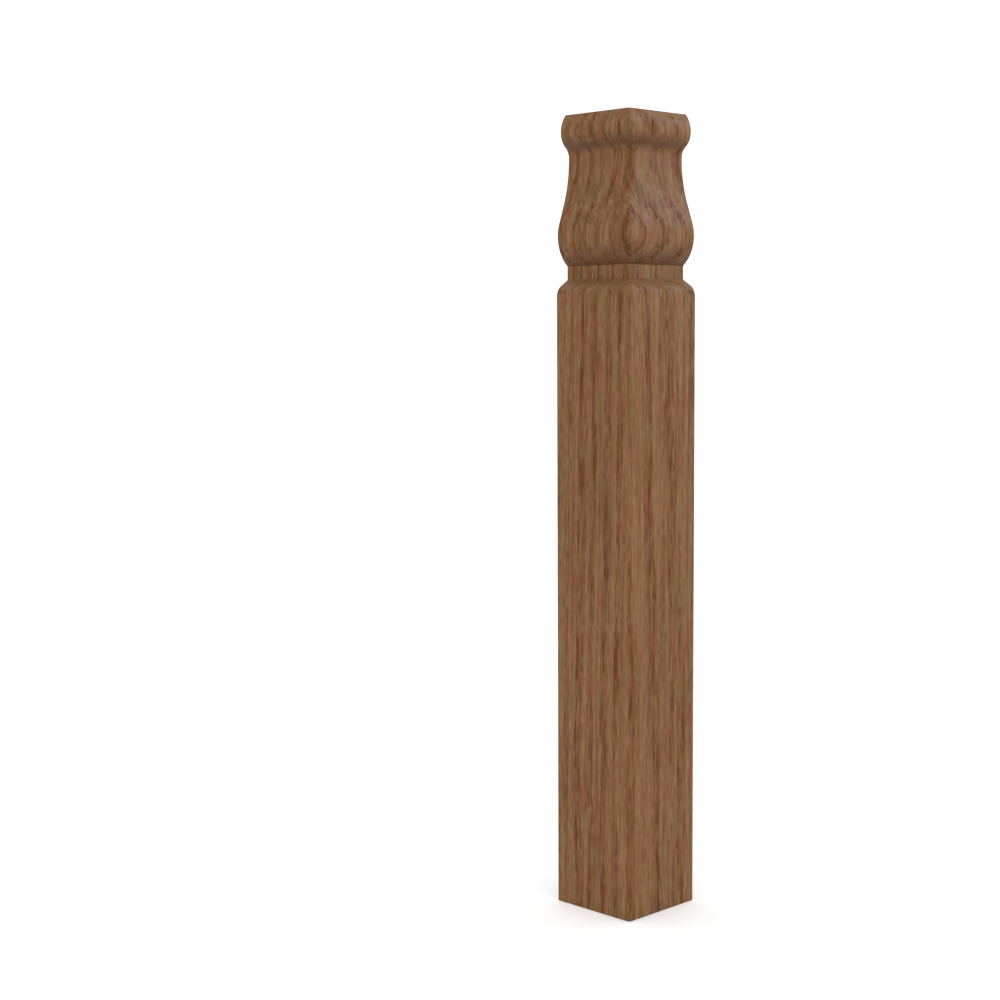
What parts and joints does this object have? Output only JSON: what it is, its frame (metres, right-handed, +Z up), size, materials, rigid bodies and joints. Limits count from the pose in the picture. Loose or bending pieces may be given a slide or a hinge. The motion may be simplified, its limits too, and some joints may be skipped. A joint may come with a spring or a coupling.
{
  "type": "base connector moulding",
  "caption": "Square oak block that baseboards butt against instead of being mitred: bead, hollow neck and belly on its room-side faces over a plain shaft, with flat backs.",
  "frame": {"origin": "middle of the foot, on the floor", "axes": "+Z up the block. The moulded faces look along -X and -Y and meet at the front arris, at -X -Y. The flat backs look along +X and +Y."},
  "size_m": [0.0222, 0.0222, 0.181],
  "materials": {
    "oak": "sanded, unfinished red oak, matt"
  },
  "bodies": {
    "root": {"connector_block": "oak"}
  },
  "joints": []
}
